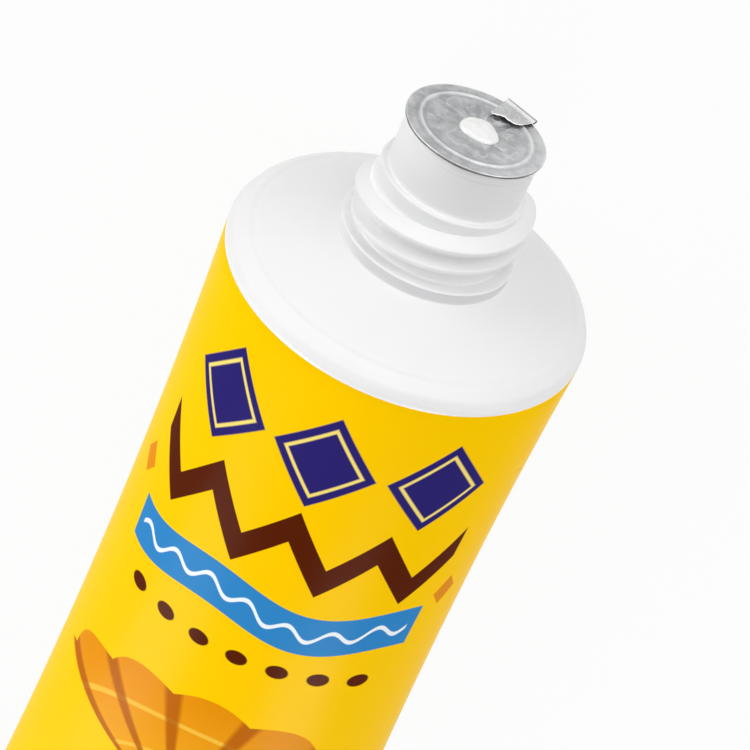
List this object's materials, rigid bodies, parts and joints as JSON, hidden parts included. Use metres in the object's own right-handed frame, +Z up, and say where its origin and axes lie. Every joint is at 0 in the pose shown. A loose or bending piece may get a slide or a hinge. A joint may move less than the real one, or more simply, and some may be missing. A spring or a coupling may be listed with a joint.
{
  "type": "squeeze tube",
  "caption": "Soft squeeze tube for lotion, round at its threaded neck and flattened to a ribbed crimp, mouth closed by a foil seal with a folded pull tab.",
  "frame": {"origin": "bottom centre of the box: on the surface that the tube lies on, below the middle of its length", "axes": "+Z up, away from the surface the tube lies on and out of its printed side; -Y along the tube's axis out of the neck; +Y towards the crimped tail; X across the crimp"},
  "size_m": [0.044, 0.1328, 0.028],
  "materials": {
    "printed_sleeve": "glossy printed soft plastic",
    "white_plastic": "smooth moulded plastic",
    "sealing_film": "thin film",
    "foil": "satin foil",
    "lotion": "wet cream"
  },
  "bodies": {
    "tube": {"sleeve": "printed_sleeve", "head": "white_plastic", "lotion_fill": "lotion"},
    "seal": {"sealing_film": "sealing_film", "foil_seal": "foil", "lotion_drop": "lotion"},
    "tab": {"pull_tab": "foil"}
  },
  "joints": [
    {"name": "seal_peel", "type": "slide", "parent": "tube", "child": "seal", "axis": [0, -1, 0], "range_m": [0, 0.03]},
    {"name": "tab_fold", "type": "hinge", "parent": "seal", "child": "tab", "pos_m": [-0.00229, -0.06578, 0.0095], "axis": [0.891, 0, -0.454], "range_deg": [0, 150]}
  ]
}
